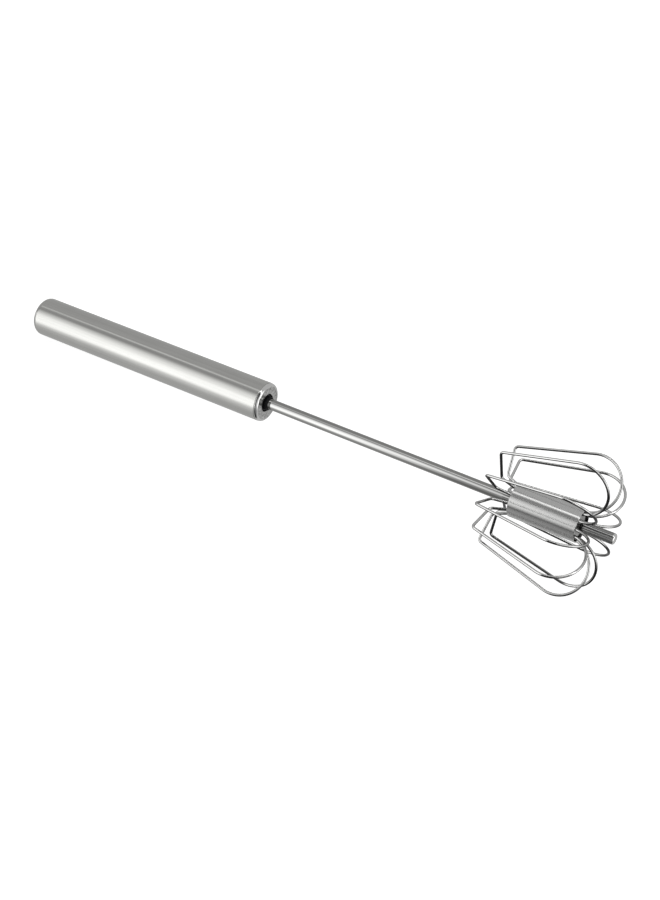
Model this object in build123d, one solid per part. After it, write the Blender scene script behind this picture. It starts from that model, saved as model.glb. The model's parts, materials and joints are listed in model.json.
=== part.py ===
from build123d import *
import math
import os

# A push-action rotary whisk (egg beater), all sizes in millimetres.
# The tool's axis is X. The origin is the centre of the handle's closed end, +X runs from
# there to the foot, and the tool lies with +Z up. Pushing the handle drives the shaft
# into it, and the twisted strip inside turns the shaft and the wire head.

# Driving dimensions
HANDLE_RADIUS = 11.0
HANDLE_WALL = 0.5
HANDLE_LENGTH = 156.0         # drawn tube, from the closed end to the cap's joint line
HANDLE_END_ROUNDING = 3.5
CAP_FLANGE = 2.0              # from the tube's end to the cap's face
CAP_RADIUS = 10.9
CAP_HOLE_RADIUS = 5.0
CAP_JOINT_GAP = 0.35          # shadow gap between tube and cap
SHAFT_RADIUS = 3.0
SHAFT_WALL = 0.5
SHAFT_EXPOSED = 151.3         # from the cap's face to the whisk collar at rest
COLLAR_LENGTH = 37.5
COLLAR_RADIUS = 8.85
COLLAR_WALL = 0.6
FOOT_LENGTH = 18.5            # from the collar to the foot's tip
TWIST_LEAD = 30.0             # travel per turn of the drive strip
WIRE_RADIUS = 0.75
WIRE_LOOPS = 10
FIRST_LOOP_ANGLE = 12.0       # degrees from +Y towards +Z
LOOP_DRIFT = (-1, -3, 3, 3, 1, -3, 1, -2, 0, 1)  # degrees each hand-set loop is off its even place
RUNNING_GAP = 0.06            # radial, shaft in its guide bush
PIN_RADIUS = 0.75             # anchor pin and nut rivets

# Stations along the axis that follow from them
CAP_FACE = HANDLE_LENGTH + CAP_FLANGE
COLLAR_TOP = CAP_FACE + SHAFT_EXPOSED
COLLAR_BOTTOM = COLLAR_TOP + COLLAR_LENGTH
FOOT_TIP = COLLAR_BOTTOM + FOOT_LENGTH
HANDLE_BORE = HANDLE_RADIUS - HANDLE_WALL
SHAFT_BORE = SHAFT_RADIUS - SHAFT_WALL
COLLAR_BORE = COLLAR_RADIUS - COLLAR_WALL

# Drive strip and its anchor
STRIP_WIDTH = 4.0
STRIP_THICKNESS = 1.0
TANG_START = 4.7
TWIST_START = 14.0            # also the anchor's lower face
STRIP_END = 140.0
ANCHOR_START = 3.7            # just clear of the handle's inner rounding
ANCHOR_PIN_AT = 9.0
ANCHOR_PIN_LENGTH = 20.8

# Spring and its seats
SEAT_BORE = 3.0
SEAT_BOSS = 7.8
SEAT_RIM = 10.2
SEAT_DISC = 1.2
UPPER_SEAT_END = 20.0
SPRING_RADIUS = 8.7
SPRING_WIRE = 0.6
SPRING_TURNS = 20
LOWER_SEAT_START = 114.0

# Drive nut on the shaft's upper end
NUT_START = 122.0
NUT_WEB = 6.0                 # length of the twisted slot
NUT_END = 135.2
NUT_RADIUS = 6.5
SLOT_GAP = 0.08               # all round between strip and slot
WASHER_THICKNESS = 0.8
WASHER_RADIUS = 7.5
FACE_GAP = 0.1                # axial, between faces that turn on each other
RIVET_AT = 131.6

# Guide bush, bumper and the cap's skirt
BUMPER_END = 138.0
BUMPER_RADIUS = 7.0
BUMPER_CLEARANCE = 0.3        # radial, round the shaft
CAP_SKIRT_START = 148.0
CAP_SKIRT_BORE = 9.6
CAP_FACE_THICKNESS = 1.2
CAP_LIP_START = 154.8
CAP_LIP_RADIUS = 6.0
BUSH_NOSE_RADIUS = 4.6        # the bush shows through the cap's hole
BUSH_NOSE_END = 157.2
BUSH_SLEEVE_RADIUS = 3.9      # and a thin sleeve stands out of it
BUSH_SLEEVE_END = 159.6

# Wire head
RING_RADIUS = 7.1             # circle on which the wire ends sit in the hubs
WIRE_HOLE_GAP = 0.02
HUB_LENGTH = 13.8
HUB_BOSS_RADIUS = 6.1         # inside the ring of wires
UPPER_HUB_RECESS = 2.0        # from the collar's edge to the drilled face
LOWER_HUB_RECESS = 3.6
HUB_BOSS_RECESS = 0.9         # from the collar's edge to the boss
WIRE_DEPTH = 12.0             # length of wire held inside the collar
FOOT_JOINT = COLLAR_BOTTOM - 1.8
FOOT_SPIGOT = 12.0

# Outline of one loop, with stations measured from the collar's upper edge
MOUTH_AT = 0.4                # where the wire starts to lean out
MOUTH_BEND = 4.0
NECK_AT = -8.3
NECK_RADIUS = 10.4
NECK_BEND = 2.5
SHOULDER_AT = -10.3
SHOULDER_RADIUS = 25.7
SHOULDER_BEND = 2.0
KNEE_AT = 30.5
KNEE_RADIUS = 36.4

# Edge treatments
TUBE_END_CHAMFER = 0.15
CAP_RIM_ROUNDING = 1.6
CAP_HOLE_ROUNDING = 0.7
BUSH_SLEEVE_CHAMFER = 0.4
NUT_CHAMFER = 0.5
COLLAR_ROUNDING = 0.25
FOOT_ROUNDING = 1.0


def rod(start, end, radius):
    """A round bar on the axis between two stations."""
    bar = Cylinder(radius, end - start, align=(Align.CENTER, Align.CENTER, Align.MIN))
    return Pos(start, 0, 0) * Rot(0, 90, 0) * bar


def ring(start, end, bore, radius):
    """A plain turned ring on the axis."""
    return rod(start, end, radius) - rod(start, end, bore)


def rims(part, station, radius):
    """The round edges of a turned part at one station and radius."""
    found = []
    for edge in part.edges().filter_by(GeomType.CIRCLE):
        same_station = abs(edge.arc_center.X - station) < 0.01
        if same_station and abs(edge.radius - radius) < 0.01:
            found.append(edge)
    return found


def cross_pin(station, low, high):
    """A pin along Z at one station."""
    pin = Cylinder(PIN_RADIUS, high - low, align=(Align.CENTER, Align.CENTER, Align.MIN))
    return Pos(station, 0, low) * pin


def twisted_strip(start, end, width, thickness):
    """A length of flat strip twisted about the axis.

    Its angle depends only on the station, so any two lengths of it are in line."""
    degrees_per_mm = 360.0 / TWIST_LEAD
    turn = math.radians(degrees_per_mm * (start - TWIST_START))
    across = (0, math.cos(turn), math.sin(turn))
    section = Plane((start, 0, 0), x_dir=across, z_dir=(1, 0, 0)) * Rectangle(width, thickness)
    length = end - start
    return Solid.extrude_linear_with_rotation(
        section.face(), center=(start, 0, 0), normal=(length, 0, 0), angle=degrees_per_mm * length
    )


def handle_tube():
    """Drawn stainless tube, closed and softly rounded at its upper end."""
    outside = rod(0, HANDLE_LENGTH, HANDLE_RADIUS)
    outside = fillet(rims(outside, 0, HANDLE_RADIUS), HANDLE_END_ROUNDING)
    inside = rod(HANDLE_WALL, HANDLE_LENGTH, HANDLE_BORE)
    inside = fillet(rims(inside, HANDLE_WALL, HANDLE_BORE), HANDLE_END_ROUNDING - HANDLE_WALL)
    tube = outside - inside
    return chamfer(rims(tube, HANDLE_LENGTH, HANDLE_RADIUS), TUBE_END_CHAMFER)


def handle_end_cap():
    """Pressed cap: a skirt inside the tube, a face with a rolled rim and an inturned lip."""
    flange_start = HANDLE_LENGTH + CAP_JOINT_GAP
    skirt = rod(CAP_SKIRT_START, flange_start, HANDLE_BORE)
    flange = rod(flange_start, CAP_FACE, CAP_RADIUS)
    pocket = rod(CAP_SKIRT_START, CAP_FACE - CAP_FACE_THICKNESS, CAP_SKIRT_BORE)
    lip = rod(CAP_LIP_START, CAP_FACE, CAP_LIP_RADIUS)
    cap = (skirt + flange - pocket) + lip
    cap = cap - rod(CAP_LIP_START, CAP_FACE, CAP_HOLE_RADIUS)
    cap = fillet(rims(cap, CAP_FACE, CAP_RADIUS), CAP_RIM_ROUNDING)
    return fillet(rims(cap, CAP_FACE, CAP_HOLE_RADIUS), CAP_HOLE_ROUNDING)


def guide_bush():
    """Moulded bush that the shaft slides and turns in, with a stepped nose in the cap's hole."""
    body = rod(BUMPER_END, CAP_LIP_START, CAP_SKIRT_BORE)
    flange = rod(BUMPER_END, CAP_SKIRT_START, HANDLE_BORE)
    nose = rod(CAP_LIP_START, BUSH_NOSE_END, BUSH_NOSE_RADIUS)
    sleeve = rod(BUSH_NOSE_END, BUSH_SLEEVE_END, BUSH_SLEEVE_RADIUS)
    bush = body + flange + nose + sleeve
    bush = bush - rod(BUMPER_END, BUSH_SLEEVE_END, SHAFT_RADIUS + RUNNING_GAP)
    return chamfer(rims(bush, BUSH_SLEEVE_END, BUSH_SLEEVE_RADIUS), BUSH_SLEEVE_CHAMFER)


def stop_bumper():
    """Soft ring that the drive nut comes to rest against."""
    return ring(NUT_END + FACE_GAP, BUMPER_END, SHAFT_RADIUS + BUMPER_CLEARANCE, BUMPER_RADIUS)


def spiral_anchor():
    """Plug pressed into the handle's closed end, slotted for the strip's tang."""
    plug = rod(ANCHOR_START, TWIST_START, HANDLE_BORE)
    slot_length = TWIST_START - TANG_START
    slot = Pos(TANG_START + slot_length / 2, 0, 0) * Box(slot_length, STRIP_WIDTH, STRIP_THICKNESS)
    half = ANCHOR_PIN_LENGTH / 2
    return plug - slot - cross_pin(ANCHOR_PIN_AT, -half, half)


def anchor_pin():
    """Cross pin through the anchor and the strip's tang."""
    half = ANCHOR_PIN_LENGTH / 2
    return cross_pin(ANCHOR_PIN_AT, -half, half)


def drive_spiral():
    """Flat steel strip with a steep twist, and a plain tang held in the anchor."""
    tang_length = TWIST_START - TANG_START
    tang = Pos(TANG_START + tang_length / 2, 0, 0) * Box(tang_length, STRIP_WIDTH, STRIP_THICKNESS)
    tang = tang - cross_pin(ANCHOR_PIN_AT, -STRIP_WIDTH, STRIP_WIDTH)
    return tang + twisted_strip(TWIST_START, STRIP_END, STRIP_WIDTH, STRIP_THICKNESS)


def upper_spring_seat():
    """Flanged ring under the anchor that centres the spring's upper end."""
    disc = ring(TWIST_START, TWIST_START + SEAT_DISC, SEAT_BORE, SEAT_RIM)
    return disc + ring(TWIST_START + SEAT_DISC, UPPER_SEAT_END, SEAT_BORE, SEAT_BOSS)


def lower_spring_seat():
    """Flanged ring that rides on the nut and carries the spring's lower end."""
    disc_end = NUT_START - WASHER_THICKNESS - FACE_GAP
    disc = ring(disc_end - SEAT_DISC, disc_end, SEAT_BORE, SEAT_RIM)
    return disc + ring(LOWER_SEAT_START, disc_end - SEAT_DISC, SEAT_BORE, SEAT_BOSS)


def return_spring():
    """Compression spring between the two seats."""
    upper = TWIST_START + SEAT_DISC + SPRING_WIRE
    lower = NUT_START - WASHER_THICKNESS - FACE_GAP - SEAT_DISC - SPRING_WIRE
    length = lower - upper
    helix = Helix(length / SPRING_TURNS, length, SPRING_RADIUS, center=(upper, 0, 0), direction=(1, 0, 0))
    start = Plane(helix @ 0, z_dir=helix % 0)
    return sweep(start * Circle(SPRING_WIRE), path=helix, is_frenet=True)


def thrust_washer():
    """Slippery washer between the lower seat, which only slides, and the turning nut."""
    end = NUT_START - FACE_GAP / 2
    return ring(end - WASHER_THICKNESS, end, SEAT_BORE, WASHER_RADIUS)


def nut_rivets():
    """Two short rivets that hold the nut to the shaft tube, clear of the strip inside."""
    above = cross_pin(RIVET_AT, SHAFT_BORE, NUT_RADIUS)
    below = cross_pin(RIVET_AT, -NUT_RADIUS, -SHAFT_BORE)
    return Compound(children=[above, below])


def drive_nut():
    """Nut on the shaft's upper end, with a twisted slot that the strip screws through."""
    nut = rod(NUT_START, NUT_END, NUT_RADIUS)
    nut = chamfer(rims(nut, NUT_START, NUT_RADIUS), NUT_CHAMFER)
    nut = nut - rod(NUT_START + NUT_WEB, NUT_END, SHAFT_RADIUS)
    overrun = 0.5
    slot = twisted_strip(
        NUT_START - overrun,
        NUT_START + NUT_WEB + overrun,
        STRIP_WIDTH + 2 * SLOT_GAP,
        STRIP_THICKNESS + 2 * SLOT_GAP,
    )
    return nut - slot - cross_pin(RIVET_AT, -NUT_RADIUS, NUT_RADIUS)


def shaft_tube():
    """Polished tube that swallows the strip as the handle is pushed down."""
    tube = ring(NUT_START + NUT_WEB, FOOT_JOINT, SHAFT_BORE, SHAFT_RADIUS)
    return tube - cross_pin(RIVET_AT, -NUT_RADIUS, NUT_RADIUS)


def foot_pin():
    """Solid foot that stands on the bowl's bottom, spigoted into the shaft tube."""
    head = rod(FOOT_JOINT, FOOT_TIP, SHAFT_RADIUS)
    head = fillet(rims(head, FOOT_TIP, SHAFT_RADIUS), FOOT_ROUNDING)
    return head + rod(FOOT_JOINT - FOOT_SPIGOT, FOOT_JOINT, SHAFT_BORE)


def whisk_collar():
    """Brushed sleeve around the wire ends."""
    collar = ring(COLLAR_TOP, COLLAR_BOTTOM, COLLAR_BORE, COLLAR_RADIUS)
    edges = rims(collar, COLLAR_TOP, COLLAR_RADIUS) + rims(collar, COLLAR_BOTTOM, COLLAR_RADIUS)
    return fillet(edges, COLLAR_ROUNDING)


def wire_hub(start, boss_start, boss_end):
    """Ring brazed between shaft and collar, drilled for one end of every loop.

    Its boss reaches towards the collar's edge, inside the ring of wires."""
    hub = ring(start, start + HUB_LENGTH, SHAFT_RADIUS, COLLAR_BORE)
    hub = hub + ring(boss_start, boss_end, SHAFT_RADIUS, HUB_BOSS_RADIUS)
    hole = Pos(0, RING_RADIUS, 0) * rod(start, start + HUB_LENGTH, WIRE_RADIUS + WIRE_HOLE_GAP)
    for number in range(WIRE_LOOPS):
        hub = hub - Rot(loop_angle(number), 0, 0) * hole
    return hub


def upper_wire_hub():
    """Hub at the collar's upper edge, with its boss towards the handle."""
    start = COLLAR_TOP + UPPER_HUB_RECESS
    return wire_hub(start, COLLAR_TOP + HUB_BOSS_RECESS, start)


def lower_wire_hub():
    """Hub at the collar's lower edge, with its boss towards the foot."""
    end = COLLAR_BOTTOM - LOWER_HUB_RECESS
    return wire_hub(end - HUB_LENGTH, end, COLLAR_BOTTOM - HUB_BOSS_RECESS)


def loop_angle(number):
    """Clock angle of one loop about the axis, from +Y towards +Z."""
    return FIRST_LOOP_ANGLE + number * 360.0 / WIRE_LOOPS + LOOP_DRIFT[number]


def loop_path():
    """Centre line of one loop in the XY plane, from its upper end to its lower end."""
    upper_end = (COLLAR_TOP + WIRE_DEPTH, RING_RADIUS)
    mouth = (COLLAR_TOP + MOUTH_AT, RING_RADIUS)
    neck = (COLLAR_TOP + NECK_AT, NECK_RADIUS)
    shoulder = (COLLAR_TOP + SHOULDER_AT, SHOULDER_RADIUS)
    knee = (COLLAR_TOP + KNEE_AT, KNEE_RADIUS)
    slope = math.atan2(knee[1] - shoulder[1], knee[0] - shoulder[0])
    # The bow leaves the knee along the slope and comes back in along the axis at the
    # ring radius, which fixes its size.
    bow_radius = (knee[1] - RING_RADIUS) / (1 + math.cos(slope))
    bow_end = (knee[0] + bow_radius * math.sin(slope), RING_RADIUS)
    lower_end = (COLLAR_BOTTOM - WIRE_DEPTH, RING_RADIUS)
    bends = (MOUTH_BEND, NECK_BEND, SHOULDER_BEND)
    top = FilletPolyline(upper_end, mouth, neck, shoulder, knee, radius=bends)
    bow = TangentArc(knee, bow_end, tangent=(math.cos(slope), math.sin(slope)))
    return Wire(top.edges() + bow.edges() + Line(bow_end, lower_end).edges())


def wire_loop(number):
    """One bent wire with both ends in the collar."""
    path = loop_path()
    start = Plane(path @ 0, z_dir=path % 0)
    wire = sweep(start * Circle(WIRE_RADIUS), path=path)
    return Rot(loop_angle(number), 0, 0) * wire


parts = {
    "handle_tube": handle_tube(),
    "handle_end_cap": handle_end_cap(),
    "guide_bush": guide_bush(),
    "stop_bumper": stop_bumper(),
    "spiral_anchor": spiral_anchor(),
    "anchor_pin": anchor_pin(),
    "drive_spiral": drive_spiral(),
    "upper_spring_seat": upper_spring_seat(),
    "return_spring": return_spring(),
    "lower_spring_seat": lower_spring_seat(),
    "thrust_washer": thrust_washer(),
    "drive_nut": drive_nut(),
    "nut_rivets": nut_rivets(),
    "shaft_tube": shaft_tube(),
    "whisk_collar": whisk_collar(),
    "upper_wire_hub": upper_wire_hub(),
    "lower_wire_hub": lower_wire_hub(),
    "foot_pin": foot_pin(),
}
for number in range(WIRE_LOOPS):
    parts[f"wire_loop_{number + 1:02d}"] = wire_loop(number)

os.makedirs("parts", exist_ok=True)
for name, part in parts.items():
    export_step(part, f"parts/{name}.step")
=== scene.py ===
import bpy
import json
import math
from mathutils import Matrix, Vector


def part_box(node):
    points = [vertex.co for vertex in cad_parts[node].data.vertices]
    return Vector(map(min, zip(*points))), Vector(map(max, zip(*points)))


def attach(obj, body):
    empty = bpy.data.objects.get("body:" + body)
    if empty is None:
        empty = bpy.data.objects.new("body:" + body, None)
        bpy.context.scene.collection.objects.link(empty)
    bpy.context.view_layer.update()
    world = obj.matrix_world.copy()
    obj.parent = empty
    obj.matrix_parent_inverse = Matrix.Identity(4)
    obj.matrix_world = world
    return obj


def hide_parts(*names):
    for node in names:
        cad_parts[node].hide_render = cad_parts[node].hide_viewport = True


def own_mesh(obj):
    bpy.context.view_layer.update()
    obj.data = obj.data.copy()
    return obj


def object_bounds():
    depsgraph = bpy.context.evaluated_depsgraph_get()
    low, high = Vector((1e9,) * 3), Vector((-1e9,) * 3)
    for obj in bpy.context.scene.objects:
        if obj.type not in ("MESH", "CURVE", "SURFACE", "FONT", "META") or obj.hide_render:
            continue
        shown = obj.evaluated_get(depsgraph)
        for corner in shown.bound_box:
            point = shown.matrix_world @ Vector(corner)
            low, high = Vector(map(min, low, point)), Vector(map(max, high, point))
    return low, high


# Push-action rotary whisk: looks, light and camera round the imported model. Metres throughout.
# The tool's axis is X, from the handle's closed end at x = 0 to the foot.

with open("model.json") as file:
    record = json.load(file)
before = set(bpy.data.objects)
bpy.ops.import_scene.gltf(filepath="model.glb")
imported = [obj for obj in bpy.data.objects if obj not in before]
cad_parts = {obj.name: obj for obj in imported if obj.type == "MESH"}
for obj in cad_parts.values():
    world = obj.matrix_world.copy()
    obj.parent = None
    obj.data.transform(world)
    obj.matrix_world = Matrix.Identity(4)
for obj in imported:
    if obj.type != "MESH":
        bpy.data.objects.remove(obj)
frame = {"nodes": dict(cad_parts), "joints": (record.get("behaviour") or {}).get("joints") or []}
cad_low, cad_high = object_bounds()
nodes = frame["nodes"]
joints = {joint["name"]: joint for joint in frame["joints"]}
STROKE = joints["handle_push"]["range_m"][1]
LOOPS = [f"wire_loop_{number:02d}" for number in range(1, 11)]

# Return spring: round wire, with closed coils at both ends of the open ones
SPRING_WIRE = 0.0006              # radius
SPRING_OPEN_TURNS = 18
SPRING_CLOSED_TURNS = 1           # at each end
SPRING_CLOSED_PITCH = 2.1 * SPRING_WIRE
SPRING_STEPS = 36                 # points to a turn
SPRING_SIDES = 12

# Where finishes, painted highlights and painted shade change along or across a piece
CAP_RIM_WIDTH = 0.0016            # polished rim, in from the cap's edge
CAP_RIM_FADE = 0.0003
FOOT_HIGHLIGHT_START = 0.0013          # painted highlight on the tip, back from the foot's end
FOOT_HIGHLIGHT_FULL = 0.0004
SHAFT_SHADE_START = 0.1043        # shade of the whisk head on the shaft, back from the collar
SHAFT_SHADE_FULL = 0.0293
SHAFT_SHADE = 0.72                # how much of its light the shaft loses there

# Painted light and shade on the collar, by how it faces up
COLLAR_SHADE = 0.8
COLLAR_LIT = 0.2                  # gained where it faces half up
COLLAR_PAINTED_SHADE = 0.5                 # lost in a line below that

# The room round the tool, by angle about the X axis in degrees: 0 is the horizon behind it,
# 90 is overhead, 180 is the horizon on the camera's side, and the rest is the table
WALL_TOP = 85                     # the wall behind is even up to here
GAP_AT = 110                      # the dark gap between the wall and the big light
LIGHT_FULL = 170                  # where the big light reaches its full level
LIGHT_FOOT = 187                  # where it ends, on the table
LIGHT_SPILL = 16                  # how fast its spill on the table dies away below that
TABLE_FAR = (285, 320)            # where the table turns as dim as the wall
WALL_LEVEL = 0.44
GAP_LEVEL = 0.36
LIGHT_LEVEL = 1.56
TABLE_LEVEL = 0.48

# The room along the tool: 1 is straight back beyond the handle, -1 straight ahead of the foot
LIGHT_START = (0.22, 0.38)        # where the big light begins
LIGHT_FADE = (0.75, 0.95)         # where it fades beyond the handle
GREY_END = (-0.52, -0.28)         # where the grey part ends
CARD_END = (-0.94, -0.84)         # where the bright card ends
DARK_LEVEL = 0.04                 # between the big light and the grey part
GREY_LEVEL = 0.32
FADED_LEVEL = 0.4
CARD_LEVEL = 1.3

# The room across the tool: 1 is straight towards the camera's side
SIDE_START = (0.0, 0.3)
CARD_SIDE = (0.05, 0.35)

# Table
TABLE_HALF = 4.0
TABLE_GAP = 0.0003                # under the handle's end
TABLE_GLOW = 0.86
TABLE_COLOUR = 0.55
TABLE_ROUGHNESS = 0.9
TABLE_GLOSS = 0.1

# Long lamp over the tool
LAMP_LENGTH = 2.4
LAMP_WIDTH = 0.15
LAMP_PLACE = (0.45, 0, 1.0)
LAMP_STRENGTHS = (0.3, 2.4)       # at its two ends, the stronger one towards the whisk head
LAMP_CHANGE = (0.2, 0.5)          # the shares of its length between which it changes

# Camera
CAMERA_AZIMUTH = math.radians(32.7)
CAMERA_ELEVATION = math.radians(38.5)
CAMERA_DISTANCE = 0.914
CAMERA_AIM = Vector((0.017, -0.002, -0.0135))     # from the middle of the tool's box
CAMERA_LENS_MM = 68.0
CAMERA_SENSOR_MM = 36.0
CAMERA_NEAR = 0.01

WHITE = (1, 1, 1, 1)
NOISE_SPAN = (0.3, 0.7)           # where most of a noise texture's values lie
QUARTER_TURN = 0.25               # of a full turn


# ---------------------------------------------------------------- node helpers

def set_inputs(tree, node, inputs):
    """Sets inputs of a node to plain values, or links them to outputs of other nodes."""
    for name, value in inputs.items():
        if isinstance(value, bpy.types.NodeSocket):
            tree.links.new(value, node.inputs[name])
        else:
            node.inputs[name].default_value = value


def new_node(tree, kind, inputs=None, **settings):
    """A shader node of one kind, with its settings and inputs."""
    node = tree.nodes.new("ShaderNode" + kind)
    for name, value in settings.items():
        setattr(node, name, value)
    set_inputs(tree, node, inputs or {})
    return node


def math_node(tree, operation, first, second=0.0):
    """The result of an operation on one or two outputs or numbers."""
    return new_node(tree, "Math", {0: first, 1: second}, operation=operation).outputs[0]


def plus(tree, first, second):
    """The sum of two outputs or numbers."""
    return math_node(tree, "ADD", first, second)


def minus(tree, first, second):
    """The first output or number less the second."""
    return math_node(tree, "SUBTRACT", first, second)


def times(tree, first, second):
    """The product of two outputs or numbers."""
    return math_node(tree, "MULTIPLY", first, second)


def remap(tree, value, ends, span=NOISE_SPAN):
    """Runs from one end to the other as a value crosses a span, and holds outside it."""
    node = new_node(tree, "MapRange", {
        "Value": value,
        "From Min": span[0],
        "From Max": span[1],
        "To Min": ends[0],
        "To Max": ends[1],
    })
    return node.outputs["Result"]


def band(tree, value, rise, fall):
    """One between two spans of a value: it fades in over the first and out over the second."""
    return times(tree, remap(tree, value, (0, 1), rise), remap(tree, value, (1, 0), fall))


def axes(tree, vector):
    """The outputs X, Y and Z of a vector."""
    return new_node(tree, "SeparateXYZ", {"Vector": vector}).outputs


def place(tree):
    """Where the surface is at rest, in the tool's frame."""
    return new_node(tree, "TexCoord").outputs["Object"]


def off_axis(tree):
    """How far the surface is from the tool's axis."""
    flat = new_node(tree, "VectorMath", {0: place(tree), 1: (0, 1, 1)}, operation="MULTIPLY")
    length = new_node(tree, "VectorMath", {0: flat.outputs["Vector"]}, operation="LENGTH")
    return length.outputs["Value"]


def upward(tree):
    """How far the surface faces up in the room: 1 is straight up and -1 straight down."""
    return axes(tree, new_node(tree, "NewGeometry").outputs["Normal"])["Z"]


def edge_on(tree):
    """How far the surface is turned from the eye: 0 faces it and 1 is edge-on."""
    return new_node(tree, "LayerWeight").outputs["Facing"]


def noise(tree, along, across, detail=3):
    """Noise with one scale along the tool's axis and another across it."""
    mapping = new_node(tree, "Mapping", {"Vector": place(tree), "Scale": (along, across, across)})
    texture = new_node(tree, "TexNoise", {
        "Vector": mapping.outputs["Vector"],
        "Scale": 1.0,
        "Detail": detail,
    })
    return texture.outputs["Fac"]


def tint(tree, tone, dark, light):
    """A colour between a dark one, where the tone is 0, and a light one, where it is 1."""
    colours = {"Factor": tone, "A": (*dark, 1), "B": (*light, 1)}
    return new_node(tree, "Mix", colours, data_type="RGBA").outputs["Result"]


def dimmed(tree, colour, shade):
    """A colour multiplied by a shade."""
    dim = new_node(tree, "VectorMath", {0: colour, "Scale": shade}, operation="SCALE")
    return dim.outputs["Vector"]


def bump(tree, height, depth, strength=1.0):
    """A surface normal that a height disturbs, for features of a depth in metres."""
    node = new_node(tree, "Bump", {"Height": height, "Distance": depth, "Strength": strength})
    return node.outputs["Normal"]


def round_grain(tree, shader, amount):
    """Stretches highlights along the axis, as grain that runs round it does."""
    tangent = new_node(tree, "Tangent", direction_type="RADIAL", axis="X")
    set_inputs(tree, shader, {
        "Anisotropic": amount,
        "Anisotropic Rotation": QUARTER_TURN,
        "Tangent": tangent.outputs["Tangent"],
    })


# ------------------------------------------------------------------- materials

def new_material(name, metallic=0.0):
    """A material with a plain Principled shader, its node tree and that shader."""
    material = bpy.data.materials.new(name)
    material.use_nodes = True
    tree = material.node_tree
    shader = tree.nodes["Principled BSDF"]
    set_inputs(tree, shader, {"Metallic": metallic})
    return material, tree, shader


def drawn_steel(name, dark, light, roughness, streaks):
    """Stainless polished lengthwise: faint lines along the axis and a few soft smudges."""
    material, tree, shader = new_material(name, metallic=1.0)
    fine = noise(tree, along=14, across=3800)
    broad = noise(tree, along=9, across=650)
    smudge = noise(tree, along=70, across=110)
    lines = plus(tree, times(tree, fine, 0.4), times(tree, broad, 0.6))
    tone = plus(tree, remap(tree, lines, (-streaks, streaks)), remap(tree, smudge, (0.42, 0.58)))
    uneven = plus(tree, remap(tree, fine, (-0.02, 0.03)), remap(tree, smudge, (0.0, 0.025)))
    set_inputs(tree, shader, {
        "Base Color": tint(tree, tone, dark, light),
        "Roughness": plus(tree, uneven, roughness),
        "Normal": bump(tree, lines, depth=1.5e-6),
    })
    return material


def brushed_steel():
    """The handle's steel, with soft broad reflections."""
    dark = (0.56, 0.56, 0.54)
    light = (0.68, 0.68, 0.66)
    return drawn_steel("brushed_steel", dark, light, roughness=0.12, streaks=0.4)


def polished_steel():
    """The steel of the small pin and the rivets."""
    dark = (0.46, 0.46, 0.45)
    light = (0.54, 0.54, 0.53)
    return drawn_steel("polished_steel", dark, light, roughness=0.05, streaks=0.1)


def spring_steel():
    """The duller steel of the spring and the drive strip."""
    dark = (0.40, 0.40, 0.40)
    light = (0.52, 0.52, 0.52)
    return drawn_steel("spring_steel", dark, light, roughness=0.2, streaks=0.2)


def ring_brushed_steel():
    """Stainless sleeve brushed round its axis: fine rings that smear reflections lengthwise.

    It has painted light where it faces half up, and painted shade in a line below that, as lamps
    that stand near the head would leave it: the room that it reflects has only far ones."""
    material, tree, shader = new_material("ring_brushed_steel", metallic=1.0)
    rings = noise(tree, along=4200, across=120)
    lines = noise(tree, along=16, across=1500)
    tone = plus(tree, remap(tree, rings, (-0.1, 0.1)), remap(tree, lines, (0.3, 0.7)))
    # Painted light where it faces half up, and painted shade in a line below that
    half_up = band(tree, upward(tree), rise=(0.52, 0.64), fall=(0.80, 0.86))
    below = band(tree, upward(tree), rise=(0.02, 0.24), fall=(0.28, 0.44))
    lit = plus(tree, times(tree, half_up, COLLAR_LIT), COLLAR_SHADE)
    shade = minus(tree, lit, times(tree, below, COLLAR_PAINTED_SHADE))
    steel = tint(tree, tone, dark=(0.88, 0.88, 0.87), light=(1.0, 1.0, 0.99))
    set_inputs(tree, shader, {
        "Base Color": dimmed(tree, steel, shade),
        "Roughness": remap(tree, rings, (0.23, 0.28)),
        "Normal": bump(tree, rings, depth=4e-7),
    })
    round_grain(tree, shader, 0.65)
    return material


def satin_steel():
    """Stainless pressing with a satin, slightly mottled face."""
    material, tree, shader = new_material("satin_steel", metallic=1.0)
    grain = noise(tree, along=2500, across=2500, detail=4)
    mottle = noise(tree, along=420, across=420)
    tone = plus(tree, remap(tree, grain, (-0.2, 0.2)), remap(tree, mottle, (0.1, 0.9)))
    set_inputs(tree, shader, {
        "Base Color": tint(tree, tone, dark=(0.26, 0.26, 0.25), light=(0.62, 0.62, 0.61)),
        "Roughness": remap(tree, grain, (0.14, 0.26)),
        "Normal": bump(tree, grain, depth=4e-6),
    })
    return material


def wire_steel():
    """Bright drawn spring wire, with painted shade towards its edges and on its underside."""
    material, tree, shader = new_material("wire_steel", metallic=1.0)
    drawn = noise(tree, along=1500, across=1500)
    # Painted shade: darker as the wire turns edge-on to the eye, and where it faces down
    turned = remap(tree, edge_on(tree), (1.0, 0.6), span=(0.08, 0.5))
    under = remap(tree, upward(tree), (0.0, 1.0), span=(0.12, 0.56))
    tone = plus(tree, times(tree, turned, under), remap(tree, drawn, (-0.05, 0.05)))
    set_inputs(tree, shader, {
        "Base Color": tint(tree, tone, dark=(0.05, 0.05, 0.05), light=(0.95, 0.95, 0.94)),
        "Roughness": remap(tree, drawn, (0.04, 0.08)),
        "Normal": bump(tree, drawn, depth=1.5e-6),
    })
    return material


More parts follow.
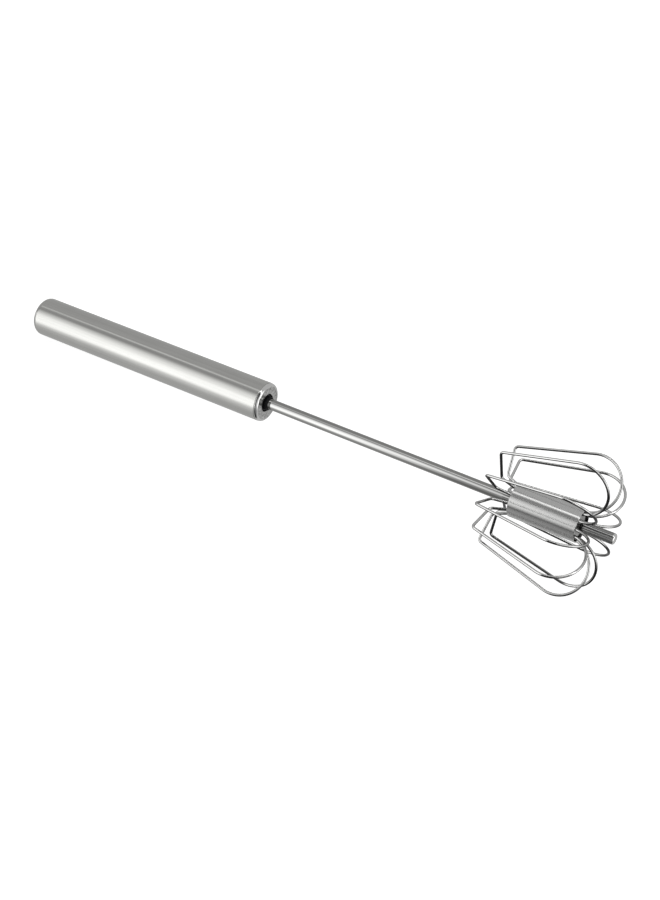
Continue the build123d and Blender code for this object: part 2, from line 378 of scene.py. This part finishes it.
def mirror_steel():
    """Mirror-polished tube with painted shade towards its edges, and faint drawing lines.

    Its lower half is dimmer near the whisk head, which shades it."""
    material, tree, shader = new_material("mirror_steel", metallic=1.0)
    lines = noise(tree, along=9, across=2400)
    # Painted shade towards the edges, as the surface turns from the eye
    turned = remap(tree, edge_on(tree), (1.0, 0.0), span=(0.06, 0.3))
    tone = plus(tree, turned, remap(tree, lines, (-0.1, 0.1)))
    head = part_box("whisk_collar")[0].x
    shaded = (head - SHAFT_SHADE_START, head - SHAFT_SHADE_FULL)
    near_head = remap(tree, axes(tree, place(tree))["X"], (0.0, SHAFT_SHADE), span=shaded)
    below = band(tree, upward(tree), rise=(-0.4, 0.25), fall=(0.46, 0.65))
    shade = minus(tree, 1.0, times(tree, near_head, below))
    steel = tint(tree, tone, dark=(0.40, 0.40, 0.39), light=(0.74, 0.74, 0.73))
    set_inputs(tree, shader, {
        "Base Color": dimmed(tree, steel, shade),
        "Roughness": remap(tree, lines, (0.02, 0.05)),
        "Normal": bump(tree, lines, depth=1e-6),
    })
    return material


def cap_steel():
    """Pressed cap: satin, slightly mottled face inside a polished rolled rim."""
    material, tree, shader = new_material("cap_steel", metallic=1.0)
    rim_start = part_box("handle_end_cap")[1].y - CAP_RIM_WIDTH
    rim = remap(tree, off_axis(tree), (0.0, 1.0), span=(rim_start, rim_start + CAP_RIM_FADE))
    grain = noise(tree, along=2500, across=2500, detail=4)
    mottle = noise(tree, along=800, across=800, detail=4)
    face = plus(tree, remap(tree, grain, (-0.3, 0.3)), remap(tree, mottle, (0.0, 1.0)))
    tone = plus(tree, face, rim)
    satin = remap(tree, grain, (0.14, 0.26))
    polish = remap(tree, rim, (1.0, 0.15), span=(0.0, 1.0))
    set_inputs(tree, shader, {
        "Base Color": tint(tree, tone, dark=(0.38, 0.38, 0.37), light=(0.88, 0.88, 0.87)),
        "Roughness": times(tree, satin, polish),
        "Normal": bump(tree, grain, depth=1e-6),
    })
    return material


def foot_steel():
    """Dark, heavily streaked rod with a painted highlight on its tip."""
    material, tree, shader = new_material("foot_steel", metallic=1.0)
    streaks = noise(tree, along=60, across=2000, detail=4)
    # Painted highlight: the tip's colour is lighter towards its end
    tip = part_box("foot_pin")[1].x
    highlight_at = (tip - FOOT_HIGHLIGHT_START, tip - FOOT_HIGHLIGHT_FULL)
    painted_highlight = remap(tree, axes(tree, place(tree))["X"], (0.0, 1.5), span=highlight_at)
    tone = plus(tree, remap(tree, streaks, (0.1, 0.6)), painted_highlight)
    set_inputs(tree, shader, {
        "Base Color": tint(tree, tone, dark=(0.16, 0.16, 0.16), light=(0.90, 0.90, 0.89)),
        "Roughness": remap(tree, streaks, (0.08, 0.2)),
        "Normal": bump(tree, streaks, depth=2e-6),
    })
    return material


def turned_brass():
    """Brass with fine tool marks round its axis."""
    material, tree, shader = new_material("turned_brass", metallic=1.0)
    marks = noise(tree, along=4000, across=60)
    set_inputs(tree, shader, {
        "Base Color": tint(tree, marks, dark=(0.62, 0.45, 0.19), light=(0.76, 0.58, 0.28)),
        "Roughness": remap(tree, marks, (0.18, 0.32)),
        "Normal": bump(tree, marks, depth=5e-6),
    })
    round_grain(tree, shader, 0.5)
    return material


def moulded(name, colour, roughness, gloss=0.5, sheen=0.0):
    """Moulded plastic or rubber with a fine eggshell surface."""
    material, tree, shader = new_material(name)
    skin = noise(tree, along=1800, across=1800)
    lighter = [min(1.0, part * 1.25 + 0.004) for part in colour]
    set_inputs(tree, shader, {
        "Base Color": tint(tree, skin, colour, lighter),
        "Roughness": remap(tree, skin, (roughness - 0.05, roughness + 0.08)),
        "Specular IOR Level": gloss,
        "Sheen Weight": sheen,
        "Normal": bump(tree, skin, depth=1e-5, strength=0.6),
    })
    return material


def black_plastic():
    """The guide bush and the washer."""
    return moulded("black_plastic", (0.006, 0.006, 0.007), roughness=0.4, gloss=0.15)


def white_plastic():
    """The spring's seats."""
    return moulded("white_plastic", (0.74, 0.74, 0.71), roughness=0.4)


def bumper_rubber():
    """The soft stop."""
    return moulded("bumper_rubber", (0.02, 0.02, 0.02), roughness=0.7, sheen=0.2)


def dress(names, material):
    """Gives CAD nodes a material."""
    for name in names:
        slots = nodes[name].data.materials
        slots.clear()
        slots.append(material)


# --------------------------------------------------------------------- pieces

def add_object(name, data):
    """A new object in the scene."""
    thing = bpy.data.objects.new(name, data)
    bpy.context.scene.collection.objects.link(thing)
    return thing


def tube_mesh(name, centre, radius, sides):
    """A closed tube swept along a list of points."""
    vertices = []
    side = (centre[1] - centre[0]).normalized().orthogonal()
    for index, point in enumerate(centre):
        ahead = centre[min(index + 1, len(centre) - 1)]
        behind = centre[max(index - 1, 0)]
        along = (ahead - behind).normalized()
        side = (side - along * side.dot(along)).normalized()
        other = along.cross(side)
        for corner in range(sides):
            angle = 2 * math.pi * corner / sides
            vertices.append(point + (side * math.cos(angle) + other * math.sin(angle)) * radius)
    faces = []
    last = (len(centre) - 1) * sides
    for first in range(0, last, sides):
        second = first + sides
        for corner in range(sides):
            after = (corner + 1) % sides
            faces.append((first + corner, first + after, second + after, second + corner))
    faces.append(tuple(reversed(range(sides))))
    faces.append(tuple(range(last, last + sides)))
    mesh = bpy.data.meshes.new(name)
    mesh.from_pydata(vertices, [], faces)
    mesh.validate()
    mesh.shade_smooth()
    return add_object(name, mesh)


def spring_line(low, high):
    """Points along the middle of the spring's wire, for a spring that fills a box."""
    radius = (high.y - low.y) / 2 - SPRING_WIRE
    length = high.x - low.x - 2 * SPRING_WIRE
    turns = SPRING_OPEN_TURNS + 2 * SPRING_CLOSED_TURNS
    open_pitch = (length - 2 * SPRING_CLOSED_TURNS * SPRING_CLOSED_PITCH) / SPRING_OPEN_TURNS
    points = []
    along = low.x + SPRING_WIRE
    for step in range(turns * SPRING_STEPS + 1):
        turn = step / SPRING_STEPS
        angle = 2 * math.pi * turn
        points.append(Vector((along, radius * math.cos(angle), radius * math.sin(angle))))
        closed = turn < SPRING_CLOSED_TURNS or turn >= turns - SPRING_CLOSED_TURNS
        along += (SPRING_CLOSED_PITCH if closed else open_pitch) / SPRING_STEPS
    return points


def coil_spring():
    """The return spring: a fixed coil that goes with the handle, though the real one shortens
    towards its fixed end as the handle is pushed.
    """
    low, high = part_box("return_spring")
    piece = tube_mesh("coil_spring", spring_line(low, high), SPRING_WIRE, SPRING_SIDES)
    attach(piece, "handle")
    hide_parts("return_spring")
    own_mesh(piece)
    return piece


# ----------------------------------------------------------------- the studio

def room_round(tree, angle):
    """The room's radiance round the tool, from an angle in degrees.

    The even wall behind gives way to a dark gap past overhead. Then the big light grows as a
    quarter of a sine wave, and below its foot it spills onto the table and dies away."""
    wall = remap(tree, angle, (WALL_LEVEL, GAP_LEVEL), span=(WALL_TOP, GAP_AT))
    growth = remap(tree, angle, (0, math.pi / 2), span=(GAP_AT, LIGHT_FULL))
    light = times(tree, math_node(tree, "SINE", growth), LIGHT_LEVEL - GAP_LEVEL)
    upper = plus(tree, wall, light)
    table = remap(tree, angle, (TABLE_LEVEL, WALL_LEVEL), span=TABLE_FAR)
    below = math_node(tree, "MAXIMUM", minus(tree, angle, LIGHT_FOOT), 0.0)
    spill = math_node(tree, "EXPONENT", math_node(tree, "DIVIDE", below, -LIGHT_SPILL))
    return plus(tree, table, times(tree, minus(tree, upper, table), spill))


def room_tone(tree):
    """How bright the room is in the direction that a ray goes."""
    ray = axes(tree, new_node(tree, "NewGeometry").outputs["Incoming"])
    turn = plus(tree, math_node(tree, "ARCTAN2", ray["Z"], ray["Y"]), math.pi)
    level = room_round(tree, math_node(tree, "DEGREES", turn))
    return room_ends(tree, level, backwards=ray["X"], towards=ray["Y"])


def room_ends(tree, level, backwards, towards):
    """The room's level, changed by how far a ray goes back to the handle's end of the room and
    how far it goes towards the camera's side.

    The big light on the camera's side stops short of the whisk head: beyond it the room is
    dark, then grey, with a small bright card straight ahead of the foot. It also fades a
    little beyond the handle."""
    lit = remap(tree, backwards, (DARK_LEVEL, 1.0), span=LIGHT_START)
    grey = remap(tree, backwards, (GREY_LEVEL, 0.0), span=GREY_END)
    fade = remap(tree, backwards, (1.0, FADED_LEVEL), span=LIGHT_FADE)
    window = times(tree, plus(tree, lit, grey), fade)
    side = remap(tree, towards, (0.0, 1.0), span=SIDE_START)
    loss = times(tree, side, minus(tree, 1.0, window))
    walls = times(tree, level, minus(tree, 1.0, loss))
    ahead = remap(tree, backwards, (CARD_LEVEL, 0.0), span=CARD_END)
    card = times(tree, ahead, remap(tree, towards, (1.0, 0.0), span=CARD_SIDE))
    return plus(tree, walls, card)


def table_slope(pivot):
    """The slope, down from a pivot under the handle's end, that lets every loop turn clear of
    the table with the handle pushed right in."""
    slope = 0.0
    for name in LOOPS:
        for vertex in nodes[name].data.vertices:
            reach = math.hypot(vertex.co.y, vertex.co.z)
            along = vertex.co.x - STROKE - pivot.x
            slope = max(slope, math.atan2(reach + pivot.z, along))
    return slope


def opal_table():
    """Opal sheet lit from below: it glows by itself, and shows the room to the tool's steel."""
    material, tree, shader = new_material("opal_table")
    reflected = new_node(tree, "LightPath").outputs["Is Glossy Ray"]
    direct = minus(tree, 1.0, reflected)
    glow = times(tree, direct, TABLE_GLOW)
    seen = times(tree, reflected, room_tone(tree))
    set_inputs(tree, shader, {
        "Base Color": times(tree, direct, TABLE_COLOUR),
        "Roughness": TABLE_ROUGHNESS,
        "Specular IOR Level": TABLE_GLOSS,
        "Emission Color": WHITE,
        "Emission Strength": plus(tree, glow, seen),
    })
    material.cycles.emission_sampling = "NONE"
    return material


def floor_under_tool():
    """The table: it touches the handle's closed end and slopes down towards the head."""
    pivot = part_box("handle_tube")[0]
    corners = [(x * TABLE_HALF, y * TABLE_HALF, 0) for x, y in ((-1, -1), (1, -1), (1, 1), (-1, 1))]
    mesh = bpy.data.meshes.new("floor")
    mesh.from_pydata(corners, [], [(0, 1, 2, 3)])
    mesh.materials.append(opal_table())
    floor = add_object("floor", mesh)
    floor.rotation_euler = (0, table_slope(pivot), 0)
    floor.location = (pivot.x, 0, pivot.z - TABLE_GAP)


def studio_world():
    """White to the camera, and the room to everything else."""
    world = bpy.data.worlds.new("studio")
    bpy.context.scene.world = world
    world.use_nodes = True
    tree = world.node_tree
    to_camera = new_node(tree, "LightPath").outputs["Is Camera Ray"]
    sides = {"Factor": to_camera, "A": room_tone(tree), "B": WHITE}
    mix = new_node(tree, "Mix", sides, data_type="RGBA")
    set_inputs(tree, tree.nodes["Background"], {"Color": mix.outputs["Result"]})


def strip_light():
    """A long narrow lamp over the tool, stronger towards the whisk head."""
    lamp = bpy.data.lights.new("top_strip", "AREA")
    lamp.shape = "RECTANGLE"
    lamp.size = LAMP_LENGTH
    lamp.size_y = LAMP_WIDTH
    # An energy of pi times the area gives a radiance of one, which the nodes then multiply
    lamp.energy = math.pi * LAMP_LENGTH * LAMP_WIDTH
    lamp.use_nodes = True
    tree = lamp.node_tree
    along = axes(tree, new_node(tree, "NewGeometry").outputs["Parametric"])["X"]
    strength = remap(tree, along, LAMP_STRENGTHS, span=LAMP_CHANGE)
    set_inputs(tree, tree.nodes["Emission"], {"Strength": strength})
    light = add_object("top_strip", lamp)
    light.location = LAMP_PLACE
    light.visible_camera = False


def camera():
    """A long lens, looking down on the tool from its side, a little from the foot's end."""
    back = Vector((
        math.sin(CAMERA_AZIMUTH) * math.cos(CAMERA_ELEVATION),
        -math.cos(CAMERA_AZIMUTH) * math.cos(CAMERA_ELEVATION),
        math.sin(CAMERA_ELEVATION),
    ))
    lens = bpy.data.cameras.new("camera")
    lens.lens = CAMERA_LENS_MM
    lens.sensor_width = CAMERA_SENSOR_MM
    lens.clip_start = CAMERA_NEAR
    eye = add_object("camera", lens)
    eye.location = (cad_low + cad_high) / 2 + CAMERA_AIM + back * CAMERA_DISTANCE
    eye.rotation_euler = (-back).to_track_quat("-Z", "Y").to_euler()
    bpy.context.scene.camera = eye


# ------------------------------------------------------------------- the scene

dress(["handle_tube"], brushed_steel())
dress(["whisk_collar"], ring_brushed_steel())
dress(["handle_end_cap"], cap_steel())
dress(["upper_wire_hub", "lower_wire_hub"], satin_steel())
dress(["shaft_tube"], mirror_steel())
dress(["anchor_pin", "nut_rivets"], polished_steel())
dress(["foot_pin"], foot_steel())
dress(LOOPS, wire_steel())
dress(["guide_bush", "thrust_washer"], black_plastic())
dress(["upper_spring_seat", "lower_spring_seat"], white_plastic())
dress(["stop_bumper"], bumper_rubber())
dress(["spiral_anchor", "drive_nut"], turned_brass())
spring_finish = spring_steel()
dress(["drive_spiral"], spring_finish)
coil_spring().data.materials.append(spring_finish)

floor_under_tool()
studio_world()
strip_light()
camera()
bpy.context.scene.view_settings.view_transform = "Standard"
